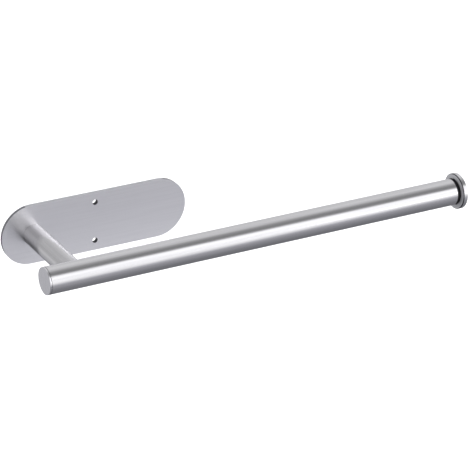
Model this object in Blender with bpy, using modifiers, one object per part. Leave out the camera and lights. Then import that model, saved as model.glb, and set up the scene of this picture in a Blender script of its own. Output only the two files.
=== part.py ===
"""Paper towel holder: one round bar on a short arm, fixed to a wall or cupboard by its back plate.

Metres, +Z up. +Y points at the wall and +X runs along the bar to its free end. The origin is the
centre of the adhesive tape's back face, which lies flat on the wall.
"""

import math

import bmesh
import bpy

MM = 0.001
GAP = 0.3 * MM  # left between two pieces that touch
PAST = 1.0 * MM  # how far a cutter runs past the face it goes through

# Back plate: a stadium of sheet steel, with an adhesive tape behind it.
PLATE_LENGTH = 147 * MM
PLATE_HEIGHT = 46 * MM
PLATE_THICK = 2.5 * MM
TAPE_THICK = 0.8 * MM
TAPE_INSET = 1.5 * MM
WALL_HOLE_R = 2.1 * MM
WALL_HOLE_MOUTH_R = 2.3 * MM
WALL_HOLE_OFFSET = 15.2 * MM

# Tubes: the bar that carries the roll, and the arm that carries the bar.
BAR_R = 10 * MM
BAR_WALL = 1.2 * MM
BAR_OFF_PLATE = 70 * MM
TOTAL_LENGTH = 340.5 * MM
ARM_R = 8 * MM
ARM_WALL = 1.0 * MM
ARM_FROM_PLATE_END = 24.5 * MM

# Ends of the bar.
CAP_THICK = 1.2 * MM
CAP_CHAMFER = 0.3 * MM
CAP_SPIGOT_LENGTH = 8 * MM
STOP_R = 13.5 * MM
STOP_THICK = 3.8 * MM
STOP_CHAMFER = 0.5 * MM
STOP_SOCKET_DEPTH = 2.3 * MM
RING_THICK = 2.4 * MM
INSERT_LENGTH = 12 * MM

# Screw threads, modelled plain at their outer size.
STUD_R = 4.0 * MM
STUD_CHAMFER = 0.5 * MM
STUD_ENGAGED = 11.25 * MM
BAR_SCREW_R = 2.5 * MM
BAR_SCREW_LENGTH = 25 * MM
BAR_SCREW_HEAD_R = 4.25 * MM
BAR_SCREW_HEAD = 5.0 * MM
BAR_SCREW_KEY_R = 2.31 * MM
BAR_SCREW_KEY_DEPTH = 2.5 * MM
WASHER_R = 5.0 * MM
WASHER_THICK = 1.0 * MM
ARM_SCREW_R = 1.5 * MM
ARM_SCREW_LENGTH = 9 * MM
ARM_SCREW_HEAD_R = 2.8 * MM
ARM_SCREW_SUNK = 0.1 * MM
ARM_SCREW_OFFSET = 3.6 * MM
ARM_SCREW_KEY_R = 1.15 * MM
ARM_SCREW_KEY_DEPTH = 0.9 * MM

# Plugs inside the tubes.
FOOT_PLUG_LENGTH = 12 * MM
FOOT_PLUG_TAP_DEPTH = 9.5 * MM
SADDLE_BACK_FROM_BAR = 22.8 * MM
SLUG_LENGTH = 24 * MM
SLUG_BORE_PAST_AXIS = 3 * MM

# Facets round each piece, and the angle from which two faces meet in a sharp edge.
COARSE = 24
FINE = 48
STADIUM_END = 28
SHARP_ANGLE = math.radians(35)
MERGE = 0.00001

# Places along Y, from the wall outwards.
PLATE_BACK_Y = -TAPE_THICK - GAP
PLATE_FRONT_Y = PLATE_BACK_Y - PLATE_THICK
ARM_FOOT_Y = PLATE_FRONT_Y - GAP
BAR_Y = PLATE_FRONT_Y - BAR_OFF_PLATE
SADDLE_BACK_Y = BAR_Y + SADDLE_BACK_FROM_BAR

# Places along X.
LEFT_X = -PLATE_LENGTH / 2
ARM_X = LEFT_X + ARM_FROM_PLATE_END
TUBE_LEFT_X = LEFT_X + CAP_THICK + GAP
STOP_OUTER_X = LEFT_X + TOTAL_LENGTH
STOP_INNER_X = STOP_OUTER_X - STOP_THICK
RING_LEFT_X = STOP_INNER_X - GAP - RING_THICK
TUBE_RIGHT_X = RING_LEFT_X - GAP

# Rotations that turn a piece's own +Z to face the free end, the wall, or away from the wall.
TO_FREE_END = (0, math.pi / 2, 0)
TO_WALL = (-math.pi / 2, 0, 0)
TO_ROOM = (math.pi / 2, 0, 0)


def clear_scene():
    for old in list(bpy.data.objects):
        bpy.data.objects.remove(old, do_unlink=True)


def new_collection(name):
    made = bpy.data.collections.new(name)
    bpy.context.scene.collection.children.link(made)
    return made


def new_material(name, colour, metallic, roughness):
    made = bpy.data.materials.new(name)
    made.use_nodes = True
    shader = made.node_tree.nodes["Principled BSDF"]
    shader.inputs["Base Color"].default_value = (*colour, 1)
    shader.inputs["Metallic"].default_value = metallic
    shader.inputs["Roughness"].default_value = roughness
    made.diffuse_color = (*colour, 1)
    return made


def place(name, mesh, material, at=(0, 0, 0), turn=(0, 0, 0), collection=None):
    made = bpy.data.objects.new(name, mesh)
    made.location = at
    made.rotation_euler = turn
    if material:
        made.data.materials.append(material)
    (collection or parts).objects.link(made)
    return made


def turned(name, profile, material, at, turn, steps=FINE, ring=False):
    """A turned piece. profile lists (radius, height) down the outer side, then back up any bore."""
    shape = bmesh.new()
    points = [shape.verts.new((radius, 0, height)) for radius, height in profile]
    for first, second in zip(points, points[1:]):
        shape.edges.new((first, second))
    if ring:
        shape.edges.new((points[-1], points[0]))
    mesh = bpy.data.meshes.new(name)
    shape.to_mesh(mesh)
    shape.free()
    made = place(name, mesh, material, at, turn)
    screw = made.modifiers.new("turn", "SCREW")
    screw.axis = "Z"
    screw.steps = steps
    screw.render_steps = steps
    screw.use_smooth_shade = True
    screw.use_merge_vertices = True
    screw.merge_threshold = MERGE
    return made


def rod(name, radius, low, high, material, at, turn, steps=FINE, chamfer=0.0):
    """A solid round piece from height low to height high along its own Z."""
    profile = [
        (0, high),
        (radius - chamfer, high),
        (radius, high - chamfer),
        (radius, low + chamfer),
        (radius - chamfer, low),
        (0, low),
    ]
    if not chamfer:
        profile = [(0, high), (radius, high), (radius, low), (0, low)]
    return turned(name, profile, material, at, turn, steps)


def tube(name, outer, inner, low, high, material, at, turn, steps=FINE):
    profile = [(outer, high), (outer, low), (inner, low), (inner, high)]
    return turned(name, profile, material, at, turn, steps, ring=True)


def cutter(radius, low, high, at, turn, steps=COARSE, low_radius=None):
    """A hidden round cutter from low to high along its own Z. Its low end may be wider."""
    shape = bmesh.new()
    bmesh.ops.create_cone(
        shape,
        cap_ends=True,
        segments=steps,
        radius1=low_radius or radius,
        radius2=radius,
        depth=high - low,
    )
    bmesh.ops.translate(shape, verts=shape.verts, vec=(0, 0, (high + low) / 2))
    mesh = bpy.data.meshes.new("cutter")
    shape.to_mesh(mesh)
    shape.free()
    made = place("cutter", mesh, None, at, turn, cutters)
    made.hide_render = True
    made.display_type = "WIRE"
    return made


def cut(piece, *tools):
    for tool in tools:
        boolean = piece.modifiers.new("cut", "BOOLEAN")
        boolean.operation = "DIFFERENCE"
        boolean.solver = "EXACT"
        boolean.object = tool
    return piece


def stadium(name, length, height, thick, front_y, material):
    """A flat plate with half-round ends, standing in XZ, with its front face at front_y."""
    radius = height / 2
    straight = length / 2 - radius
    outline = bpy.data.curves.new(name, "CURVE")
    outline.dimensions = "2D"
    outline.fill_mode = "BOTH"
    outline.extrude = thick / 2
    spline = outline.splines.new("POLY")
    corners = []
    for side in (1, -1):
        for step in range(STADIUM_END + 1):
            angle = side * math.pi / 2 - math.pi * step / STADIUM_END
            across = side * straight + radius * math.cos(angle)
            corners.append((across, radius * math.sin(angle), 0, 1))
    spline.points.add(len(corners) - 1)
    for point, corner in zip(spline.points, corners):
        point.co = corner
    spline.use_cyclic_u = True
    curve = bpy.data.objects.new(name + "_outline", outline)
    curve.location = (0, front_y + thick / 2, 0)
    curve.rotation_euler = (math.pi / 2, 0, 0)
    parts.objects.link(curve)
    bpy.context.view_layer.update()
    seen = curve.evaluated_get(bpy.context.evaluated_depsgraph_get())
    mesh = bpy.data.meshes.new_from_object(seen)
    mesh.name = name
    shape = bmesh.new()
    shape.from_mesh(mesh)
    bmesh.ops.remove_doubles(shape, verts=shape.verts, dist=MERGE)
    shape.to_mesh(mesh)
    shape.free()
    where = curve.matrix_world.copy()
    bpy.data.objects.remove(curve, do_unlink=True)
    mesh.materials.clear()
    made = place(name, mesh, material)
    made.matrix_world = where
    return made


def finish(piece):
    """Turns the piece's modifiers into plain mesh, with round faces smooth and real edges sharp."""
    seen = piece.evaluated_get(bpy.context.evaluated_depsgraph_get())
    mesh = bpy.data.meshes.new_from_object(seen)
    mesh.name = piece.name
    mesh.shade_smooth()
    mesh.set_sharp_from_angle(angle=SHARP_ANGLE)
    piece.modifiers.clear()
    piece.data = mesh


def back_plate():
    plate = stadium("back_plate", PLATE_LENGTH, PLATE_HEIGHT, PLATE_THICK, PLATE_FRONT_Y, steel)
    for side in (1, -1):
        front = (0, PLATE_FRONT_Y, side * WALL_HOLE_OFFSET)
        back = (ARM_X, PLATE_BACK_Y, side * ARM_SCREW_OFFSET)
        countersunk_hole(plate, WALL_HOLE_R, WALL_HOLE_MOUTH_R, front, TO_WALL)
        countersunk_hole(plate, ARM_SCREW_R + GAP, ARM_SCREW_HEAD_R + GAP, back, TO_ROOM)
    return plate


def countersunk_hole(plate, radius, mouth, centre, turn):
    """A hole right through the plate, with a 45 degree mouth in the face that centre lies on."""
    through = cutter(radius, -PAST, PLATE_THICK + PAST, centre, turn)
    cone = cutter(radius, -PAST, mouth - radius, centre, turn, low_radius=mouth + PAST)
    cut(plate, through, cone)


def adhesive_tape():
    tape = stadium(
        "adhesive_tape",
        PLATE_LENGTH - 2 * TAPE_INSET,
        PLATE_HEIGHT - 2 * TAPE_INSET,
        TAPE_THICK,
        -TAPE_THICK,
        foam,
    )
    for side in (1, -1):
        centre = (0, 0, side * WALL_HOLE_OFFSET)
        cut(tape, cutter(WALL_HOLE_R, -TAPE_THICK - PAST, PAST, centre, TO_WALL))
    return tape


def arm_screw(name, side):
    """A flat-headed screw from the back of the plate into the plug in the arm's foot."""
    sunk = ARM_SCREW_SUNK
    cone = ARM_SCREW_HEAD_R - ARM_SCREW_R
    screw = turned(
        name,
        [
            (0, -sunk),
            (ARM_SCREW_HEAD_R, -sunk),
            (ARM_SCREW_R, -sunk - cone),
            (ARM_SCREW_R, -ARM_SCREW_LENGTH),
            (0, -ARM_SCREW_LENGTH),
        ],
        zinc,
        (ARM_X, PLATE_BACK_Y, side * ARM_SCREW_OFFSET),
        TO_WALL,
        COARSE,
    )
    deep = -sunk - ARM_SCREW_KEY_DEPTH
    return cut(screw, cutter(ARM_SCREW_KEY_R, deep, GAP, screw.location, TO_WALL, steps=6))


def bar_clearance(at, past):
    """A cutter of the bar's own outside, larger by the gap, that copes whatever meets the bar."""
    return cutter(BAR_R + GAP, -past, past, at, TO_FREE_END, FINE)


def arm_tube():
    axis = (ARM_X, BAR_Y, 0)
    arm = tube(
        "arm_tube", ARM_R, ARM_R - ARM_WALL, 0, ARM_FOOT_Y - BAR_Y, steel, axis, TO_WALL
    )
    return cut(arm, bar_clearance(axis, 3 * ARM_R))


def arm_foot_plug():
    radius = ARM_R - ARM_WALL - GAP
    foot = (ARM_X, ARM_FOOT_Y, 0)
    plug = rod("arm_foot_plug", radius, -FOOT_PLUG_LENGTH, 0, alloy, foot, TO_WALL)
    for side in (1, -1):
        mouth = (ARM_X, ARM_FOOT_Y, side * ARM_SCREW_OFFSET)
        cut(plug, cutter(ARM_SCREW_R + GAP, -FOOT_PLUG_TAP_DEPTH, PAST, mouth, TO_WALL))
    return plug


def arm_saddle_plug():
    axis = (ARM_X, BAR_Y, 0)
    radius = ARM_R - ARM_WALL - GAP
    plug = rod("arm_saddle_plug", radius, 0, SADDLE_BACK_FROM_BAR, alloy, axis, TO_WALL)
    shank_hole = cutter(BAR_SCREW_R + GAP, 0, 2 * SADDLE_BACK_FROM_BAR, axis, TO_WALL)
    return cut(plug, bar_clearance(axis, 3 * ARM_R), shank_hole)


def bar_screw():
    """A cap screw from inside the arm, through the bar's wall into the slug."""
    under_head = (ARM_X, SADDLE_BACK_Y + 2 * GAP + WASHER_THICK, 0)
    screw = turned(
        "bar_screw",
        [
            (0, BAR_SCREW_HEAD),
            (BAR_SCREW_HEAD_R, BAR_SCREW_HEAD),
            (BAR_SCREW_HEAD_R, 0),
            (BAR_SCREW_R, 0),
            (BAR_SCREW_R, -BAR_SCREW_LENGTH),
            (0, -BAR_SCREW_LENGTH),
        ],
        zinc,
        under_head,
        TO_WALL,
        COARSE,
    )
    deep = BAR_SCREW_HEAD - BAR_SCREW_KEY_DEPTH
    high = BAR_SCREW_HEAD + PAST
    return cut(screw, cutter(BAR_SCREW_KEY_R, deep, high, under_head, TO_WALL, steps=6))


def bar_screw_washer():
    back = (ARM_X, SADDLE_BACK_Y + GAP, 0)
    bore = BAR_SCREW_R + GAP
    return tube("bar_screw_washer", WASHER_R, bore, 0, WASHER_THICK, zinc, back, TO_WALL, COARSE)


def bar_tube():
    end = (TUBE_LEFT_X, BAR_Y, 0)
    length = TUBE_RIGHT_X - TUBE_LEFT_X
    bar = tube("bar_tube", BAR_R, BAR_R - BAR_WALL, 0, length, steel, end, TO_FREE_END)
    axis = (ARM_X, BAR_Y, 0)
    return cut(bar, cutter(BAR_SCREW_R + GAP, 0, 2 * BAR_R, axis, TO_WALL))


def bar_slug():
    """The tapped block inside the bar that the bar screw pulls against."""
    axis = (ARM_X, BAR_Y, 0)
    half = SLUG_LENGTH / 2
    radius = BAR_R - BAR_WALL - GAP
    slug = rod("bar_slug", radius, -half, half, alloy, axis, TO_FREE_END)
    return cut(slug, cutter(BAR_SCREW_R + GAP, -SLUG_BORE_PAST_AXIS, 2 * BAR_R, axis, TO_WALL))


def near_end_cap():
    """A disc over the bar's near end, held by a plain spigot."""
    spigot = BAR_R - BAR_WALL - GAP
    deep = CAP_THICK + CAP_SPIGOT_LENGTH
    profile = [
        (0, deep),
        (spigot, deep),
        (spigot, CAP_THICK),
        (BAR_R, CAP_THICK),
        (BAR_R, CAP_CHAMFER),
        (BAR_R - CAP_CHAMFER, 0),
        (0, 0),
    ]
    return turned("near_end_cap", profile, steel, (LEFT_X, BAR_Y, 0), TO_FREE_END)


def stop_insert():
    """The threaded bush pressed into the bar's free end."""
    outer = BAR_R - BAR_WALL - GAP
    at = (TUBE_RIGHT_X, BAR_Y, 0)
    bore = STUD_R + GAP
    return tube("stop_insert", outer, bore, -INSERT_LENGTH, 0, brass, at, TO_FREE_END)


def stop_ring():
    at = (RING_LEFT_X, BAR_Y, 0)
    bore = STUD_R + GAP
    return tube("stop_ring", BAR_R, bore, 0, RING_THICK, rubber, at, TO_FREE_END)


def end_stop():
    """The disc that keeps the roll on the bar. Its stud sits in a blind hole in its inner face."""
    socket = STUD_R + GAP
    profile = [
        (0, STOP_THICK),
        (STOP_R - STOP_CHAMFER, STOP_THICK),
        (STOP_R, STOP_THICK - STOP_CHAMFER),
        (STOP_R, STOP_CHAMFER),
        (STOP_R - STOP_CHAMFER, 0),
        (socket, 0),
        (socket, STOP_SOCKET_DEPTH),
        (0, STOP_SOCKET_DEPTH),
    ]
    return turned("end_stop", profile, steel, (STOP_INNER_X, BAR_Y, 0), TO_FREE_END)


def stop_stud():
    inner = TUBE_RIGHT_X - STUD_ENGAGED
    outer = STOP_INNER_X + STOP_SOCKET_DEPTH - GAP
    at = (inner, BAR_Y, 0)
    length = outer - inner
    return rod("stop_stud", STUD_R, 0, length, zinc, at, TO_FREE_END, COARSE, STUD_CHAMFER)


clear_scene()
parts = new_collection("paper_towel_holder")
cutters = new_collection("cutters")
steel = new_material("brushed_stainless_steel", (0.55, 0.55, 0.56), 1.0, 0.28)
zinc = new_material("zinc_plated_steel", (0.46, 0.47, 0.48), 1.0, 0.35)
alloy = new_material("turned_aluminium", (0.72, 0.72, 0.73), 1.0, 0.3)
brass = new_material("turned_brass", (0.73, 0.55, 0.25), 1.0, 0.28)
rubber = new_material("black_rubber", (0.012, 0.012, 0.013), 0.0, 0.6)
foam = new_material("grey_foam_tape", (0.22, 0.22, 0.23), 0.0, 0.85)

back_plate()
adhesive_tape()
arm_tube()
arm_foot_plug()
arm_screw("arm_screw_upper", 1)
arm_screw("arm_screw_lower", -1)
arm_saddle_plug()
bar_screw()
bar_screw_washer()
bar_tube()
bar_slug()
near_end_cap()
stop_insert()
stop_ring()
end_stop()
stop_stud()
bpy.context.view_layer.update()
for piece in parts.objects:
    finish(piece)
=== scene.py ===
# %% [markdown]
# # A paper towel holder in brushed stainless steel
# This lesson dresses a finished engineering model. The model gives every piece its place and its
# size, and the joint that lets the end stop unscrew. Here each visible piece is rebuilt with soft
# edges and a real metal finish, on the same spot, and rides on the same body, so it still moves.

# %% Load the engineering model
import math
import bmesh
import bpy
from mathutils import Euler, Matrix, Vector


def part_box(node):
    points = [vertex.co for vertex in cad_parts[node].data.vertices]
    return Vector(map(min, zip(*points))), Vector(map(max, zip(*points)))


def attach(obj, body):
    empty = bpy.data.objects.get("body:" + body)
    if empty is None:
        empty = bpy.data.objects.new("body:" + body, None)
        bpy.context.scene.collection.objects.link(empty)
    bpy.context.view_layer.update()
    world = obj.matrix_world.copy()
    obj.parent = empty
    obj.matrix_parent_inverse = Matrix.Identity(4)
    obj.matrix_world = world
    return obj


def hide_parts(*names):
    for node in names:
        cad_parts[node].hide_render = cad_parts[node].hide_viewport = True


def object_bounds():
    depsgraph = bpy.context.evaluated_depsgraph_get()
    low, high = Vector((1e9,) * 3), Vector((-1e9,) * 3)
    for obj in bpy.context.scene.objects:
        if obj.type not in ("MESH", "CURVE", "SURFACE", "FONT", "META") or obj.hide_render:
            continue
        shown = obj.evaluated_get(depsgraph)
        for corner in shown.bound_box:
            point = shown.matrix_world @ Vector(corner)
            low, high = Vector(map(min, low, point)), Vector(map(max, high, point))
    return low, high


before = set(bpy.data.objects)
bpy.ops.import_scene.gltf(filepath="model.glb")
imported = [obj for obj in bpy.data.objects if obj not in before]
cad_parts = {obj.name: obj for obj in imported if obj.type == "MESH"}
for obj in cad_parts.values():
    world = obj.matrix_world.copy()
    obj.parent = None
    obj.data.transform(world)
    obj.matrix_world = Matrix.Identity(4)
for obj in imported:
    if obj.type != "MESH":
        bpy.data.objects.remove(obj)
cad_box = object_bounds()
MM = 0.001

# %% [markdown]
# ## The camera
# A product picture of something long is taken from far away with a long lens, so that the far end
# isn't much smaller than the near one. The camera stands in front, to the left and above, and
# leans over by less than two degrees.

# %% Camera
CAMERA_LENS = 199.5  # millimetres
CAMERA_DISTANCE = 1.888  # metres
CAMERA_AIM = Vector((90.7, -48.7, -10.5)) * MM
CAMERA_AZIMUTH = math.radians(-29.8)
CAMERA_ELEVATION = math.radians(26.0)
CAMERA_LEAN = math.radians(1.74)
CAMERA_SEES = (0.1, 50)  # metres, nearest and farthest


def place_camera():
    """Puts a camera on a sphere round the aim point, turned to look at it."""
    data = bpy.data.cameras.new("product_camera")
    data.lens = CAMERA_LENS
    data.clip_start, data.clip_end = CAMERA_SEES
    camera = bpy.data.objects.new("product_camera", data)
    turn = Euler((math.pi / 2 - CAMERA_ELEVATION, 0, CAMERA_AZIMUTH)).to_matrix()
    camera.matrix_world = (
        Matrix.Translation(CAMERA_AIM + turn @ Vector((0, 0, CAMERA_DISTANCE)))
        @ turn.to_4x4()
        @ Matrix.Rotation(CAMERA_LEAN, 4, "Z")
    )
    bpy.context.scene.collection.objects.link(camera)
    bpy.context.scene.camera = camera
    return camera


print("camera at", [round(x, 3) for x in place_camera().matrix_world.translation])

# %% [markdown]
# ## Colours and nodes
# Colours are written the way a paint chart gives them, as sRGB hex, and turned into the linear
# values that Blender works in. One function adds a node: its properties are keywords, and its
# sockets are a dictionary that holds either a value or another node's output.

# %% Colour and node helpers
def linear(code, alpha=1.0):
    """#rrggbb to linear light."""
    shades = [int(code[i : i + 2], 16) / 255 for i in (1, 3, 5)]
    toe = [s / 12.92 if s <= 0.04045 else ((s + 0.055) / 1.055) ** 2.4 for s in shades]
    return (*toe, alpha)


def add(tree, kind, sockets=None, **settings):
    """Adds one node with its settings, and sets or links its sockets."""
    node = tree.nodes.new("ShaderNode" + kind)
    for name, value in settings.items():
        setattr(node, name, value)
    for name, value in (sockets or {}).items():
        if isinstance(value, bpy.types.NodeSocket):
            tree.links.new(value, node.inputs[name])
        else:
            node.inputs[name].default_value = value
    return node


def new_material(name):
    """A material with an empty node tree but for its output, and the tree."""
    material = bpy.data.materials.new(name)
    material.use_nodes = True
    tree = material.node_tree
    tree.nodes.clear()
    return material, tree


MIX_A, MIX_B, MIX_RESULT = 6, 7, 2  # the colour sockets of a Mix node, which share their names
print("mid grey is", [round(x, 3) for x in linear("#808080")])

# %% [markdown]
# ## The lines that a finish leaves
# Brushing on a belt cuts thousands of fine parallel grooves, and facing on a lathe cuts rings.
# Noise stretched along the grooves looks like the first, and noise read by the distance from the
# lathe's axis like the second. Both are scaled from real sizes. A 180 grit groove is about 0.08 mm
# wide, too fine to show here, so the fine set is drawn 0.5 mm wide. A second, broad set gives the
# slow change from one pass of the belt to the next.
# Grooves also spread light across themselves, and hardly along themselves. The shader does that
# along its tangent, so each finish gives a tangent square to its own grooves.

# %% Brushed and faced finishes
FINE_STREAK = (0.5 * MM, 45 * MM)
BROAD_STREAK = (3.5 * MM, 160 * MM)
FINE_RING = 0.6 * MM
BROAD_RING = 2.2 * MM
STREAK_RAGGEDNESS = 0.6
AXES = "XYZ"


def streaks(tree, vector, scale, detail):
    """Noise read from a vector that is first scaled along each axis."""
    stretched = add(tree, "Mapping", {"Vector": vector, "Scale": scale}).outputs["Vector"]
    sockets = {
        "Vector": stretched,
        "Scale": 1.0,
        "Detail": detail,
        "Roughness": STREAK_RAGGEDNESS,
    }
    return add(tree, "TexNoise", sockets).outputs["Fac"]


def brushed(along, tangent=None):
    """A finish brushed along one axis. A tube needs no tangent, and a flat sheet gives its own."""

    def finish(tree):
        place = add(tree, "TexCoord").outputs["Object"]
        sets = []
        for width, length in (FINE_STREAK, BROAD_STREAK):
            scale = [1 / (length if axis == along else width) for axis in AXES]
            sets.append(streaks(tree, place, scale, 3.0))
        if tangent:
            square = add(tree, "CombineXYZ", dict(zip(AXES, tangent)))
        else:
            square = add(tree, "Tangent", direction_type="RADIAL", axis=along)
        return (*sets, square.outputs[0])

    return finish


def faced(centre):
    """A face turned on a lathe about the X axis through centre."""

    def finish(tree):
        place = add(tree, "TexCoord").outputs["Object"]
        arm = add(tree, "VectorMath", {0: place, 1: centre}, operation="SUBTRACT")
        arm = add(tree, "VectorMath", {0: arm.outputs[0], 1: (0, 1, 1)}, operation="MULTIPLY")
        reach = add(tree, "VectorMath", {0: arm.outputs[0]}, operation="LENGTH").outputs["Value"]
        rings = add(tree, "CombineXYZ", {"X": reach}).outputs[0]
        sets = [streaks(tree, rings, (1 / width, 1, 1), 2.0) for width in (FINE_RING, BROAD_RING)]
        outwards = add(
            tree,
            "VectorTransform",
            {"Vector": arm.outputs[0]},
            vector_type="VECTOR",
            convert_from="OBJECT",
            convert_to="WORLD",
        )
        return (*sets, outwards.outputs[0])

    return finish


fine_width, fine_length = (round(size / MM, 1) for size in FINE_STREAK)
print("a fine streak is", fine_width, "mm wide and", fine_length, "mm long")

# %% [markdown]
# ## Metal
# One recipe serves every bare metal here. The finish gives its grooves, the two tones are the
# metal's own colour in a groove and between grooves, and the roughness follows the same lines. A
# faint bump lets an edge of light pick the grooves out. The index of refraction stays at its usual
# value, because a metal's colour already says how much it reflects.

# %% Metal recipe
GROOVE_DEPTH = 0.004 * MM
NOISE_LOW, NOISE_HIGH = 0.3, 0.7  # noise seldom goes past these, so they become 0 and 1


def metal(name, finish, tones, roughness, spread, anisotropy=0.5, bump=0.3):
    """A bare metal. Its spread is how much the grooves change the roughness, either way."""
    material, tree = new_material(name)
    fine, broad, tangent = finish(tree)
    both = add(tree, "Mix", {"Factor": 0.5, "A": fine, "B": broad}).outputs["Result"]
    sockets = {"Value": both, "From Min": NOISE_LOW, "From Max": NOISE_HIGH}
    lines = add(tree, "MapRange", sockets).outputs["Result"]
    groove, ridge = (linear(tone) for tone in tones)
    sockets = {"Factor": lines, MIX_A: groove, MIX_B: ridge}
    tone = add(tree, "Mix", sockets, data_type="RGBA").outputs[MIX_RESULT]
    low, high = roughness - spread, roughness + spread
    sockets = {"Value": lines, "To Min": high, "To Max": low}
    rough = add(tree, "MapRange", sockets).outputs["Result"]
    grooves = add(tree, "Bump", {"Height": fine, "Strength": bump, "Distance": GROOVE_DEPTH})
    sockets = {
        "Base Color": tone,
        "Metallic": 1.0,
        "Roughness": rough,
        "Anisotropic": anisotropy,
        "Normal": grooves.outputs["Normal"],
        "Tangent": tangent,
    }
    shader = add(tree, "BsdfPrincipled", sockets)
    add(tree, "OutputMaterial", {"Surface": shader.outputs["BSDF"]})
    return material


# %% [markdown]
# ## Satin stainless steel
# The bar, arm, plate, cap and stop are 304 stainless: a cool, nearly neutral grey. The tubes are
# brushed along their length and the plate along its long side, a little rougher, as sheet is. The
# stop's outer face is turned on a lathe, and its inner face is bead blasted, so it hardly mirrors
# the ring in front of it; its tone is also lighter than the other steel, which is painted light
# against the ring's shade. Handling polishes a rounded edge before the face beside it, so the outer
# edges of bar and stop have a brighter and smoother steel of their own. The sheared sides of the
# sheet are a little duller. Its round ends are painted darker, as painted shade on the rim, and the
# drilled holes, the arm's cut ends and the stop's inner chamfer are painted near black, as painted
# shade in holes, joints and chamfers.

# %% Steel finishes
bar_low, bar_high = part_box("bar_tube")
bar_axis = Vector((0, (bar_low.y + bar_high.y) / 2, (bar_low.z + bar_high.z) / 2))
STEEL = ("#C2C1C3", "#D0CFD0")
STEEL_EDGE = ("#CFCECE", "#DEDDDD")
STEEL_DISC = ("#B4B3B6", "#D6D5D8")
STEEL_CAP = ("#D2D1D4", "#DCDBDE")
STEEL_SHEET = ("#DEDDE0", "#E6E5E8")
STEEL_RIM = ("#B8B8BB", "#CCCCCF")
# Painted light: lighter than the other steel, to make up for the ring's shade on the stop.
STEEL_BLASTED_PAINTED_LIGHT = ("#E0E0E2", "#EAEAEC")
# Painted shade: darker than the sheared sides, for the rim's round ends.
STEEL_END_PAINTED_SHADE = ("#76767A", "#909094")
# Painted shade: near black, for hole walls, the arm's cut ends and the stop's inner chamfer.
STEEL_PAINTED_SHADE = ("#3C3C40", "#4C4C50")

# After its two tones, each has a roughness, how far the grooves change it, and how much more it
# spreads light across the grooves than along them.
bar_steel = metal("satin_stainless_tube", brushed("X"), STEEL, 0.17, 0.03)
arm_steel = metal("satin_stainless_arm", brushed("Y"), STEEL, 0.22, 0.03)
plate_steel = metal("satin_stainless_sheet", brushed("X", (0, 0, 1)), STEEL_SHEET, 0.34, 0.02)
disc_steel = metal("faced_stainless_disc", faced(bar_axis), STEEL_DISC, 0.3, 0.08, 0.6)
# The bead blasted roughness is real; its lighter tone is painted light.
blasted_painted_light_steel = metal("bead_blasted_painted_light", faced(bar_axis), STEEL_BLASTED_PAINTED_LIGHT, 0.75, 0.04, 0.0)
# Painted shade in the holes, where the arm meets plate and bar, and in the stop's inner chamfer.
painted_shade_steel = metal("painted_shade_stainless", faced(bar_axis), STEEL_PAINTED_SHADE, 0.4, 0.04, 0.0)
rim_steel = metal("sheared_stainless_rim", brushed("Y"), STEEL_RIM, 0.42, 0.06, 0.2)
# Painted shade on the plate's round ends.
end_painted_shade_steel = metal("punched_rim_painted_shade", brushed("Y"), STEEL_END_PAINTED_SHADE, 0.45, 0.06, 0.2)
cap_steel = metal("satin_stainless_cap", brushed("Z", (0, 1, 0)), STEEL_CAP, 0.24, 0.04)
edge_steel = metal("polished_stainless_edge", brushed("X"), STEEL_EDGE, 0.14, 0.03, 0.0, 0.1)
print("bar axis at y", round(bar_axis.y / MM, 2), "mm")

# %% [markdown]
# ## Hidden metals
# Screws, washer and stud are steel with bright zinc plate, which is bluer than stainless. The plugs
# and the slug are turned aluminium bar, and the threaded bush is brass.

# %% Zinc, aluminium and brass
zinc = metal("bright_zinc_plate", brushed("Y"), ("#B4BBC2", "#C9CED3"), 0.3, 0.05, 0.2)
stud_zinc = metal("bright_zinc_stud", brushed("X"), ("#B4BBC2", "#C9CED3"), 0.3, 0.05, 0.2)
aluminium = metal("turned_aluminium", brushed("Y"), ("#CFD0D2", "#E0E0E2"), 0.28, 0.05)
brass = metal("turned_brass", faced(bar_axis), ("#C9A45C", "#DDBB74"), 0.25, 0.05)
print("hidden metals:", [one.name for one in (zinc, stud_zinc, aluminium, brass)])

# %% [markdown]
# ## Rubber and foam tape
# The ring is black nitrile rubber, moulded against fine spark-eroded steel, so it has a dry, faintly
# grained skin. The tape is closed-cell acrylic foam: its cut face shows cells of about 0.3 mm.

# %% Rubber and foam
GRAIN_SPREAD = 0.08
GRAIN_BUMP = 0.5
FOAM_CELL = 0.3 * MM
RUBBER_GRAIN = 0.4 * MM


def grained(name, tones, roughness, grain, depth, shine=0.5, cells=False):
    """A matt material with a moulded or cellular grain of a real size. Half is a usual shine."""
    material, tree = new_material(name)
    place = add(tree, "TexCoord").outputs["Object"]
    kind = "TexVoronoi" if cells else "TexNoise"
    texture = add(tree, kind, {"Vector": place, "Scale": 1 / grain})
    height = texture.outputs["Distance" if cells else "Fac"]
    dark, light = (linear(tone) for tone in tones)
    sockets = {"Factor": height, MIX_A: dark, MIX_B: light}
    tone = add(tree, "Mix", sockets, data_type="RGBA").outputs[MIX_RESULT]
    sockets = {
        "Value": height,
        "To Min": roughness - GRAIN_SPREAD,
        "To Max": roughness + GRAIN_SPREAD,
    }
    rough = add(tree, "MapRange", sockets).outputs["Result"]
    bump = add(tree, "Bump", {"Height": height, "Strength": GRAIN_BUMP, "Distance": depth})
    sockets = {
        "Base Color": tone,
        "Roughness": rough,
        "Specular IOR Level": shine,
        "Normal": bump.outputs["Normal"],
    }
    shader = add(tree, "BsdfPrincipled", sockets)
    add(tree, "OutputMaterial", {"Surface": shader.outputs["BSDF"]})
    return material


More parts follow.
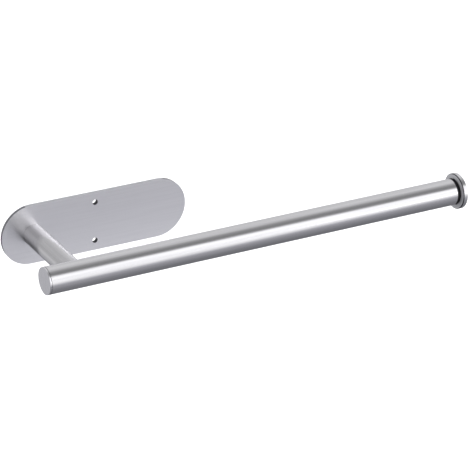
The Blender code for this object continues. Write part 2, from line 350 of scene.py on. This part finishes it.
black = ("#08080A", "#121215")
rubber = grained("black_nitrile_rubber", black, 0.55, RUBBER_GRAIN, 0.02 * MM, shine=0.15)
dark_grey = ("#2C2D30", "#46474B")
foam = grained("grey_acrylic_foam", dark_grey, 0.85, FOAM_CELL, 0.05 * MM, cells=True)
print("rubber and foam ready")

# %% [markdown]
# ## Turned pieces
# Most of the holder is round. A turned piece starts as half of its section, given as corners of
# (radius, distance along the axis), and is spun round the axis. The corners are sharp at first.

# %% Turning
ROUND_STEPS = 128
ALONG_X = Vector((1, 0, 0))
ALONG_Y = Vector((0, 1, 0))
UP = Vector((0, 0, 1))
WELD = 0.001 * MM


def as_piece(name, shape, *materials):
    """Makes an object of a bmesh, and frees the bmesh."""
    bmesh.ops.remove_doubles(shape, verts=shape.verts, dist=WELD)
    bmesh.ops.recalc_face_normals(shape, faces=shape.faces)
    mesh = bpy.data.meshes.new(name)
    shape.to_mesh(mesh)
    shape.free()
    for material in materials:
        mesh.materials.append(material)
    piece = bpy.data.objects.new(name, mesh)
    bpy.context.scene.collection.objects.link(piece)
    return piece


def turned(name, corners, start, axis, *materials, ring=False, steps=ROUND_STEPS):
    """Spins corners of (radius, along) round the axis. A ring's section is closed."""
    shape = bmesh.new()
    points = [shape.verts.new(start + axis * along + UP * radius) for radius, along in corners]
    pairs = list(zip(points, points[1:])) + ([(points[-1], points[0])] if ring else [])
    lines = [shape.edges.new(pair) for pair in pairs]
    bmesh.ops.spin(
        shape,
        geom=points + lines,
        cent=start,
        axis=axis,
        angle=2 * math.pi,
        steps=steps,
        use_merge=True,
    )
    return as_piece(name, shape, *materials)


def solid_rod(radius, low, high):
    """The corners of a plain rod."""
    return [(0, low), (radius, low), (radius, high), (0, high)]


print("round pieces have", ROUND_STEPS, "sides")

# %% [markdown]
# ## Cutting and softening
# Holes, and the curved seat where the arm meets the bar, are cut with Booleans. Then a bevel rounds
# every sharp edge by a real radius, and gives those new faces the last of the piece's materials.
# At the end the shading is smoothed with weighted normals, so that flat faces stay flat up to the bevel.

# %% Cutting, softening and fixing in place
CREASE = math.radians(50)
BEVEL_FROM = math.radians(30)
BEVEL_STEPS = 3


def bake(piece):
    """Makes the piece's modifiers part of its mesh."""
    seen = piece.evaluated_get(bpy.context.evaluated_depsgraph_get())
    mesh = bpy.data.meshes.new_from_object(seen)
    mesh.name = piece.name
    piece.modifiers.clear()
    piece.data = mesh


def cut(piece, *tools):
    """Takes the tools' shapes out of the piece, and then removes the tools."""
    for tool in tools:
        piece.modifiers.new("cut", "BOOLEAN").object = tool
    bake(piece)
    for tool in tools:
        bpy.data.objects.remove(tool)
    return piece


def soften(piece, width):
    """Rounds the sharp edges, in the piece's last material."""
    bevel = piece.modifiers.new("soft edges", "BEVEL")
    bevel.width = width
    bevel.segments = BEVEL_STEPS
    bevel.limit_method = "ANGLE"
    bevel.angle_limit = BEVEL_FROM
    bevel.material = len(piece.data.materials) - 1
    bake(piece)
    return piece


def fix(piece, body, node):
    """Shades the piece, and puts it on its body in the node's place."""
    piece.data.shade_smooth()
    piece.data.set_sharp_from_angle(angle=CREASE)
    piece.modifiers.new("flat faces", "WEIGHTED_NORMAL").keep_sharp = True
    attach(piece, body)
    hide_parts(node)
    print(piece.name, "has", len(piece.data.polygons), "faces")


# %% [markdown]
# ## The bar
# A length of 20 mm tube. A cap and a bush close its bore, but the wall is real. The hole in its far
# side, inside the arm, lets the bar screw through.

# %% Bar
BAR_R = (bar_high.z - bar_low.z) / 2
BAR_WALL = 1.2 * MM
SCREW_HOLE_R = 2.8 * MM
SCREW_HOLE_END = 3 * MM
BAR_EDGE = 0.2 * MM

arm_low, arm_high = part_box("arm_tube")
arm_x = (arm_low.x + arm_high.x) / 2
bar_start = Vector((bar_low.x, bar_axis.y, bar_axis.z))
bar_length = bar_high.x - bar_low.x
arm_meets_bar = Vector((arm_x, bar_axis.y, bar_axis.z))


def screw_hole(to_front):
    """A cutter for the bar screw, from behind the arm's foot to some way past the bar's axis."""
    corners = solid_rod(SCREW_HOLE_R, -to_front, arm_high.y - bar_axis.y)
    return turned("screw_hole", corners, arm_meets_bar, ALONG_Y)


section = [(BAR_R, 0), (BAR_R, bar_length), (BAR_R - BAR_WALL, bar_length), (BAR_R - BAR_WALL, 0)]
bar = turned("bar", section, bar_start, ALONG_X, bar_steel, edge_steel, ring=True)
soften(cut(bar, screw_hole(SCREW_HOLE_END)), BAR_EDGE)
fix(bar, "holder", "bar_tube")

# %% [markdown]
# ## The arm
# A shorter tube, 16 mm across, that stands square on the plate. Its front end is coped, which means
# cut to the bar's own curve, so that it sits on the bar with no gap to see. A cutter with the bar's
# shape gives that curve. The engineering model keeps wider gaps, so this tube is a hair longer.

# %% Arm
ARM_R = (arm_high.x - arm_low.x) / 2
ARM_WALL = 1.0 * MM
TOUCH = 0.04 * MM
ARM_EDGE = 0.2 * MM
plate_low, plate_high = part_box("back_plate")


def seat(gap):
    """A cutter with the bar's shape, larger by the gap."""
    corners = solid_rod(BAR_R + gap, bar_low.x, bar_high.x)
    return turned("seat", corners, bar_axis, ALONG_X)


foot = Vector((arm_x, plate_low.y - TOUCH, bar_axis.z))
arm_length = foot.y - bar_axis.y
section = [(ARM_R, 0), (ARM_R, arm_length), (ARM_R - ARM_WALL, arm_length), (ARM_R - ARM_WALL, 0)]
# Its soft-edged ends take the near-black steel: painted shade where the arm meets the plate and the bar.
arm = turned("arm", section, foot, -ALONG_Y, arm_steel, painted_shade_steel, ring=True)
soften(cut(arm, seat(TOUCH)), ARM_EDGE)
fix(arm, "holder", "arm_tube")

# %% [markdown]
# ## The back plate and its tape
# The plate is a stadium, a rectangle with a half circle at each end, cut from 2.5 mm sheet. The
# outline is a list of points from a formula, filled and pushed back by the sheet's thickness. Two
# plain holes are for wall screws, and two countersunk from the back for the arm's screws. The tape
# behind it is the same shape, a little smaller, and its foam shows inside the wall holes.
# The strip is sheared to its height, and a punch rounds its ends. Its round ends are painted darker
# than its straight sides, as painted shade, and the hole walls near black, as painted shade.

# %% Plate and tape
STADIUM_STEPS = 64
PLATE_EDGE = 0.15 * MM
TAPE_EDGE = 0.1 * MM
WALL_HOLE = 2.1 * MM
WALL_HOLE_Z = 15.2 * MM
FOOT_HOLE = 1.8 * MM
FOOT_HOLE_MOUTH = 3.1 * MM
FOOT_SCREW_Z = 3.6 * MM
PAST = 1 * MM
THROUGH = 5 * MM
PLATE_FACE, HOLE_WALL, ROUND_END, STRAIGHT_SIDE = range(4)
FLAT_FROM = 0.5  # a face of the sheet points this much along Y, and its rim doesn't
STRAIGHT_FROM = 0.98  # a straight side points this much along Z, and a round end less
tape_low, tape_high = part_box("adhesive_tape")


def stadium(name, low, high, *materials):
    """A flat slab with half round ends that fills the box from low to high."""
    shape = bmesh.new()
    radius = (high.z - low.z) / 2
    points = []
    for centre, first in ((high.x - radius, 90), (low.x + radius, 270)):
        for step in range(STADIUM_STEPS + 1):
            angle = math.radians(first - 180 * step / STADIUM_STEPS)
            spot = (centre + radius * math.cos(angle), low.y, radius * math.sin(angle))
            points.append(shape.verts.new(spot))
    front = shape.faces.new(points)
    pushed = bmesh.ops.extrude_face_region(shape, geom=[front])["geom"]
    back = [item for item in pushed if isinstance(item, bmesh.types.BMVert)]
    bmesh.ops.translate(shape, verts=back, vec=(0, high.y - low.y, 0))
    return as_piece(name, shape, *materials)


def countersink(place, into, radius, mouth, depth):
    """A cutter for a countersunk hole: place is the middle of its mouth."""
    corners = [(0, -PAST), (mouth, -PAST), (mouth, 0), (radius, mouth - radius), (radius, depth)]
    return turned("hole", corners + [(0, depth)], place, into)


def wall_holes():
    """Cutters for both wall holes, through the plate and the tape."""
    corners = solid_rod(WALL_HOLE, -PAST, THROUGH)
    heights = (WALL_HOLE_Z, -WALL_HOLE_Z)
    return [turned("hole", corners, Vector((0, plate_low.y, z)), ALONG_Y) for z in heights]


foot_holes = []
for z in (FOOT_SCREW_Z, -FOOT_SCREW_Z):
    mouth = Vector((arm_x, plate_high.y, z))
    foot_holes.append(countersink(mouth, -ALONG_Y, FOOT_HOLE, FOOT_HOLE_MOUTH, THROUGH))


def sheet_finish(face):
    """Which finish a face of the plate has."""
    if abs(face.normal.y) > FLAT_FROM:
        return PLATE_FACE
    # A hole wall gets the near-black steel: painted shade inside the hole.
    if max(abs(face.center.x), abs(abs(face.center.z) - WALL_HOLE_Z)) < WALL_HOLE + WELD:
        return HOLE_WALL
    # A round end gets the darker rim steel: painted shade on the ends of the rim.
    return ROUND_END if abs(face.normal.z) < STRAIGHT_FROM else STRAIGHT_SIDE


# Hole walls and round ends get the painted-shade steels, and faces and straight sides their own steel.
finishes = (plate_steel, painted_shade_steel, end_painted_shade_steel, rim_steel)
plate = stadium("plate", plate_low, plate_high, *finishes)
cut(plate, *wall_holes(), *foot_holes)
for face in plate.data.polygons:
    face.material_index = sheet_finish(face)
soften(plate, PLATE_EDGE)
fix(plate, "holder", "back_plate")

tape = cut(stadium("tape", tape_low, tape_high, foam), *wall_holes())
fix(soften(tape, TAPE_EDGE), "holder", "adhesive_tape")

# %% [markdown]
# ## The cap and the end stop
# Both are turned from bar. The cap is a thin disc as wide as the tube, with a spigot that is pressed
# into it. The stop is a thicker, wider disc with a socket in its inner face for the stud. Between
# the stop and the bar is a rubber ring, which keeps the stop from working loose.

# %% Cap, stop and ring
FIT_GAP = 0.3 * MM  # left between hidden pieces that touch
SPIGOT_R = BAR_R - BAR_WALL - FIT_GAP
CAP_THICK = 1.2 * MM
STUD_R = 4.0 * MM
SOCKET_R = 4.1 * MM
SOCKET_DEPTH = 2.3 * MM
RING_BORE = 4.3 * MM
CAP_EDGE = 0.15 * MM
STOP_CHAMFER = 0.6 * MM
RING_EDGE = 0.35 * MM
OUTER_FACE, STOP_SIDE, INNER_FACE, OUTER_EDGE, INNER_EDGE = range(5)
BY_NORMAL = {-1: INNER_FACE, 0: STOP_SIDE, 1: OUTER_FACE}  # which way along X a face points


def on_bar_axis(x):
    """The point on the bar's axis at x."""
    return Vector((x, bar_axis.y, bar_axis.z))


low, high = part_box("near_end_cap")
length = high.x - low.x
section = [(0, 0), (BAR_R, 0), (BAR_R, CAP_THICK), (SPIGOT_R, CAP_THICK), (SPIGOT_R, length)]
cap = turned("cap", section + [(0, length)], on_bar_axis(low.x), ALONG_X, cap_steel, bar_steel)
fix(soften(cap, CAP_EDGE), "holder", "near_end_cap")

low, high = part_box("end_stop")
length = high.x - low.x
stop_r = (high.z - low.z) / 2
section = [(0, SOCKET_DEPTH), (SOCKET_R, SOCKET_DEPTH), (SOCKET_R, 0), (stop_r, 0), (stop_r, length)]
# The inner face's lighter steel is painted light against the ring's shade, and the inner chamfer's
# near-black steel is painted shade.
finishes = (disc_steel, bar_steel, blasted_painted_light_steel, edge_steel, painted_shade_steel)
stop = turned("stop", section + [(0, length)], on_bar_axis(low.x), ALONG_X, *finishes)
for face in stop.data.polygons:
    face.material_index = BY_NORMAL[round(face.normal.x)]
soften(stop, STOP_CHAMFER)
for face in stop.data.polygons:
    if face.material_index == INNER_EDGE and face.center.x > low.x + length / 2:
        face.material_index = OUTER_EDGE
fix(stop, "stop", "end_stop")

low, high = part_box("stop_ring")
length = high.x - low.x
section = [(RING_BORE, 0), (BAR_R, 0), (BAR_R, length), (RING_BORE, length)]
ring = turned("rubber_ring", section, on_bar_axis(low.x), ALONG_X, rubber, ring=True)
fix(soften(ring, RING_EDGE), "ring", "stop_ring")

# %% [markdown]
# ## Threads
# A real thread is a ridge wound into a helix. Here it is a skin of rings round the axis, where each
# point's radius follows how far it is along its own turn of the ridge. Since the stop moves one
# pitch for each turn, the thread seems to stay in its groove while the stop unscrews.

# %% Threaded pieces
THREAD_SIDES = 64
RINGS_PER_PITCH = 12
THREAD_DEPTH = 0.61  # of the pitch
THREAD_FLAT = 0.15  # of the climb, on the crest and in the groove
STUD_PITCH = 1.25 * MM


def ridge(turns):
    """From 0 in the groove to 1 on the crest, with a flat on both."""
    climb = 1 - abs(2 * (turns % 1) - 1)
    return min(1, max(0, (climb - THREAD_FLAT) / (1 - 2 * THREAD_FLAT)))


def threaded(name, head, radius, pitch, length, start, axis, *materials):
    """A head of corners (radius, along), then a thread from the last of them to the tip."""
    root = radius - THREAD_DEPTH * pitch
    first = head[-1][1]
    count = round((length - first) / pitch * RINGS_PER_PITCH)
    rings = [[corner] * THREAD_SIDES for corner in head]
    for index in range(count + 1):
        along = first + (length - first) * index / count
        ring = []
        for side in range(THREAD_SIDES):
            lift = (radius - root) * ridge(along / pitch - side / THREAD_SIDES)
            ring.append((root + min(lift, length - along), along))
        rings.append(ring)

    shape = bmesh.new()
    across = axis.orthogonal().normalized()
    skin = []
    for ring in rings:
        points = []
        for side, (reach, along) in enumerate(ring):
            spoke = Matrix.Rotation(2 * math.pi * side / THREAD_SIDES, 3, axis) @ across
            points.append(shape.verts.new(start + axis * along + spoke * reach))
        skin.append(points)
    for one, two in zip(skin, skin[1:]):
        for side in range(THREAD_SIDES):
            before = side - 1
            shape.faces.new((one[before], one[side], two[side], two[before]))
    shape.faces.new(skin[-1])
    return as_piece(name, shape, *materials)


print("an M8 thread is", round(THREAD_DEPTH * STUD_PITCH / MM, 2), "mm deep")

# %% [markdown]
# ## Stud and screws
# The stud is M8, with one turn of its thread to each 1.25 mm, and is locked into the stop. An M5
# socket screw inside the arm pulls the bar onto the arm, and two M3 countersunk screws from behind
# hold the arm to the plate. Their hexagon sockets are cut with a rod of only six sides.

# %% Stud and screws
M5_R, M5_PITCH, M5_SHANK = 2.5 * MM, 0.8 * MM, 2.2 * MM
M5_HEAD, M5_HEAD_LONG, M5_KEY, M5_KEY_DEEP = 4.25 * MM, 5 * MM, 2.31 * MM, 2.5 * MM
M3_R, M3_PITCH, M3_SHANK = 1.5 * MM, 0.5 * MM, 1.3 * MM
M3_HEAD, M3_HEAD_LONG, M3_KEY, M3_KEY_DEEP = 2.8 * MM, 1.7 * MM, 1.15 * MM, 0.9 * MM
STUD_END = 1 * MM
HEAD_EDGE = 0.3 * MM
HEAD_RIM = 0.2 * MM

low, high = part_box("stop_stud")
start = on_bar_axis(high.x)
head = [(0, 0), (STUD_R - STUD_END, 0)]
length = high.x - low.x
stud = threaded("stud", head, STUD_R, STUD_PITCH, length, start, -ALONG_X, stud_zinc)
fix(stud, "stop", "stop_stud")


def hexagon(start, axis, radius, depth):
    """A cutter for a hexagon socket."""
    return turned("key", solid_rod(radius, -PAST, depth), start, axis, steps=6)


low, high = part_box("bar_screw")
start = Vector((arm_x, high.y, bar_axis.z))
head = [
    (0, 0),
    (M5_HEAD - HEAD_EDGE, 0),
    (M5_HEAD, HEAD_EDGE),
    (M5_HEAD, M5_HEAD_LONG),
    (M5_SHANK, M5_HEAD_LONG),
]
length = high.y - low.y
bar_screw = threaded("socket_screw", head, M5_R, M5_PITCH, length, start, -ALONG_Y, zinc)
cut(bar_screw, hexagon(start, -ALONG_Y, M5_KEY, M5_KEY_DEEP))
fix(bar_screw, "holder", "bar_screw")

for node in ("arm_screw_upper", "arm_screw_lower"):
    low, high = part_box(node)
    start = Vector((arm_x, high.y, (low.z + high.z) / 2))
    head = [(0, 0), (M3_HEAD, 0), (M3_HEAD, HEAD_RIM), (M3_SHANK, M3_HEAD_LONG)]
    length = high.y - low.y
    name = node.replace("arm", "foot")
    screw = threaded(name, head, M3_R, M3_PITCH, length, start, -ALONG_Y, zinc)
    cut(screw, hexagon(start, -ALONG_Y, M3_KEY, M3_KEY_DEEP))
    fix(screw, "holder", node)

# %% [markdown]
# ## What is inside the tubes
# Thin tube can't hold a thread, so turned plugs are pressed into it: one in each end of the arm, a
# cross drilled slug in the bar where the arm meets it, and a brass bush in its free end for the stud.

# %% Plugs, slug, washer and bush
PLUG_EDGE = 0.3 * MM
FOOT_TAP_R = 1.6 * MM
FOOT_TAP_DEPTH = 9.5 * MM
WASHER_EDGE = 0.15 * MM

low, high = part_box("arm_foot_plug")
start = Vector((arm_x, high.y, bar_axis.z))
plug_r = (high.x - low.x) / 2
taps = [
    turned("tap", solid_rod(FOOT_TAP_R, -PAST, FOOT_TAP_DEPTH), start + UP * side, -ALONG_Y)
    for side in (FOOT_SCREW_Z, -FOOT_SCREW_Z)
]
foot_plug = turned("foot_plug", solid_rod(plug_r, 0, high.y - low.y), start, -ALONG_Y, aluminium)
fix(soften(cut(foot_plug, *taps), PLUG_EDGE), "holder", "arm_foot_plug")

low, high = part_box("arm_saddle_plug")
start = Vector((arm_x, high.y, bar_axis.z))
corners = solid_rod(plug_r, 0, high.y - bar_axis.y)
saddle = turned("saddle_plug", corners, start, -ALONG_Y, aluminium)
soften(cut(saddle, seat(FIT_GAP), screw_hole(0)), PLUG_EDGE)
fix(saddle, "holder", "arm_saddle_plug")

low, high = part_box("bar_slug")
corners = solid_rod(SPIGOT_R, 0, high.x - low.x)
slug = turned("slug", corners, on_bar_axis(low.x), ALONG_X, aluminium)
soften(cut(slug, screw_hole(SCREW_HOLE_END)), PLUG_EDGE)
fix(slug, "holder", "bar_slug")

low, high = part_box("bar_screw_washer")
thick = high.y - low.y
washer_r = (high.x - low.x) / 2
section = [(SCREW_HOLE_R, 0), (washer_r, 0), (washer_r, thick), (SCREW_HOLE_R, thick)]
start = Vector((arm_x, low.y, bar_axis.z))
washer = turned("washer", section, start, ALONG_Y, zinc, ring=True)
fix(soften(washer, WASHER_EDGE), "holder", "bar_screw_washer")

low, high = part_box("stop_insert")
length = high.x - low.x
section = [(RING_BORE, 0), (SPIGOT_R, 0), (SPIGOT_R, length), (RING_BORE, length)]
bush = turned("bush", section, on_bar_axis(low.x), ALONG_X, brass, ring=True)
fix(soften(bush, PLUG_EDGE), "holder", "stop_insert")

# %% [markdown]
# ## The studio
# Bare metal shows little but its surroundings, so most of its look is the room. A product studio is
# a pale tent with a few bright and dark cards. The bar is a cylinder, and what it shows depends only
# on the direction round its own axis. So the tent is one ramp round that axis: 0 degrees is level
# in front, 90 is overhead, and 180 is the wall behind. The bright front panel gives the white band.
# The arm, the plate, the cap and the stop face other ways than the bar does, so a few soft round
# cards, bright or dark, set what each of them sees.

# %% Studio surroundings
TENT_TOP = 2.0  # the brightest that the ramp can say, which it calls 1
TENT = {
    -180: 0.75,
    -162: 0.6,
    -148: 0.34,
    -132: 0.2,
    -110: 0.27,
    -85: 0.27,
    -60: 0.36,
    -35: 0.5,
    -22: 0.68,
    -12: 1.2,
    0: 1.5,
    20: 1.6,
    44: 1.9,
    51: 0.9,
    60: 0.33,
    75: 0.33,
    90: 0.5,
    105: 0.84,
    125: 1.0,
    145: 0.93,
    165: 0.82,
    180: 0.78,
}
COOL = (0.955, 0.965, 1.045)  # daylight from a low window, on what is below the bright panel
COOL_SIDE = (-150, -15)
PALE = (0.985, 0.99, 1.01)  # the tent's own cloth
BACKDROP = "#F4F4F4"
# Each is a direction, half a width in degrees and a strength. A shade takes that share of the
# tent's light away, and a card adds light.
CAMERA_SHADE = ((-0.2, -0.77, 0.6), 30, -0.6)  # the dark room above the camera
PANEL_SHADE = ((-0.6, -0.78, 0.12), 32, -0.45)  # the bright panel falls off to the left
LOW_SHADE = ((-0.2, -0.78, -0.6), 28, -0.95)  # dark below the camera, on the left
BACK_SHADE = ((-0.35, 0.78, 0.5), 45, -0.24)  # the tent's far corner
EDGE_CARD = ((0.625, -0.77, 0.09), 10, 3.0)  # a white card in front, to the right
FILL_CARD = ((-0.45, 0.78, -0.44), 30, 0.23)  # a grey card low behind, to the left


def card(tree, direction, towards, half_width, brightness):
    """A soft round card: light from within half_width degrees of a direction."""
    aim = Vector(towards).normalized()
    near = add(tree, "VectorMath", {0: direction, 1: aim}, operation="DOT_PRODUCT")
    edge = math.cos(math.radians(half_width))
    middle = math.cos(math.radians(half_width / 2))
    sockets = {"Value": near.outputs["Value"], "From Min": edge, "From Max": middle}
    glow = add(tree, "MapRange", sockets, interpolation_type="SMOOTHSTEP").outputs["Result"]
    return add(tree, "Math", {0: glow, 1: brightness}, operation="MULTIPLY").outputs[0]


def tent(tree, direction):
    """The tent's light from a direction, by its angle round the bar."""
    along = add(tree, "SeparateXYZ", {"Vector": direction}).outputs
    front = add(tree, "Math", {0: along["Y"], 1: -1.0}, operation="MULTIPLY").outputs[0]
    angle = add(tree, "Math", {0: along["Z"], 1: front}, operation="ARCTAN2").outputs[0]
    sockets = {"Value": angle, "From Min": -math.pi, "From Max": math.pi}
    place = add(tree, "MapRange", sockets).outputs["Result"]
    ramp = add(tree, "ValToRGB", {"Fac": place})
    stops = ramp.color_ramp.elements
    while len(stops) > 1:
        stops.remove(stops[0])
    for index, (degrees, brightness) in enumerate(TENT.items()):
        spot = (degrees + 180) / 360
        stop = stops[0] if index == 0 else stops.new(spot)
        stop.position = spot
        tint = COOL if COOL_SIDE[0] < degrees < COOL_SIDE[1] else PALE
        stop.color = (*[brightness / TENT_TOP * part for part in tint], 1)
    return ramp.outputs["Color"]


def build_studio():
    """Lights the steel with the tent and its cards, and shows the camera a plain backdrop."""
    world = bpy.data.worlds.new("studio")
    bpy.context.scene.world = world
    world.use_nodes = True
    tree = world.node_tree
    tree.nodes.clear()
    direction = add(tree, "TexCoord").outputs["Generated"]
    light = tent(tree, direction)
    for shade in (CAMERA_SHADE, PANEL_SHADE, LOW_SHADE, BACK_SHADE):
        kept = add(tree, "Math", {0: card(tree, direction, *shade), 1: 1.0}, operation="ADD")
        sockets = {0: light, "Scale": kept.outputs[0]}
        light = add(tree, "VectorMath", sockets, operation="SCALE").outputs[0]
    light = add(tree, "VectorMath", {0: light, "Scale": TENT_TOP}, operation="SCALE").outputs[0]
    for lit in (EDGE_CARD, FILL_CARD):
        sockets = {0: light, 1: card(tree, direction, *lit)}
        light = add(tree, "VectorMath", sockets, operation="ADD").outputs[0]
    studio = add(tree, "Background", {"Color": light, "Strength": 1.0})
    plain = add(tree, "Background", {"Color": linear(BACKDROP), "Strength": 1.0})
    seen = add(tree, "LightPath").outputs["Is Camera Ray"]
    sockets = {0: seen, 1: studio.outputs[0], 2: plain.outputs[0]}
    both = add(tree, "MixShader", sockets).outputs[0]
    add(tree, "OutputWorld", {"Surface": both})


build_studio()
print("tent with", len(TENT), "stops")

# %% [markdown]
# ## Floor and overhead light
# The floor is white card, far enough below that the holder's shadow on it is too soft to see. It is
# lit from above until it is pure white. Neither it nor the lamp shows in the steel: the tent already
# says what the steel sees.

# %% Floor and lamp
FLOOR_DROP = 350 * MM
FLOOR_WIDTH = 8.0
LAMP_WIDTH = 4.0
LAMP_HEIGHT = 3.0
LAMP_WATTS = 160

card_white = grained("matt_white_card", ("#F2F2F2", "#FAFAFA"), 0.9, 2 * MM, 0.02 * MM)
shape = bmesh.new()
bmesh.ops.create_grid(shape, x_segments=8, y_segments=8, size=FLOOR_WIDTH / 2)
bmesh.ops.translate(shape, verts=shape.verts, vec=(0, 0, cad_box[0].z - FLOOR_DROP))
floor = as_piece("floor", shape, card_white)
floor.visible_glossy = False

lamp_data = bpy.data.lights.new("overhead", "AREA")
lamp_data.size = LAMP_WIDTH
lamp_data.energy = LAMP_WATTS
lamp = bpy.data.objects.new("overhead", lamp_data)
lamp.location = (0, 0, LAMP_HEIGHT)
lamp.visible_glossy = False
bpy.context.scene.collection.objects.link(lamp)
bpy.context.scene.view_settings.view_transform = "Standard"
print("floor", FLOOR_WIDTH, "m wide")
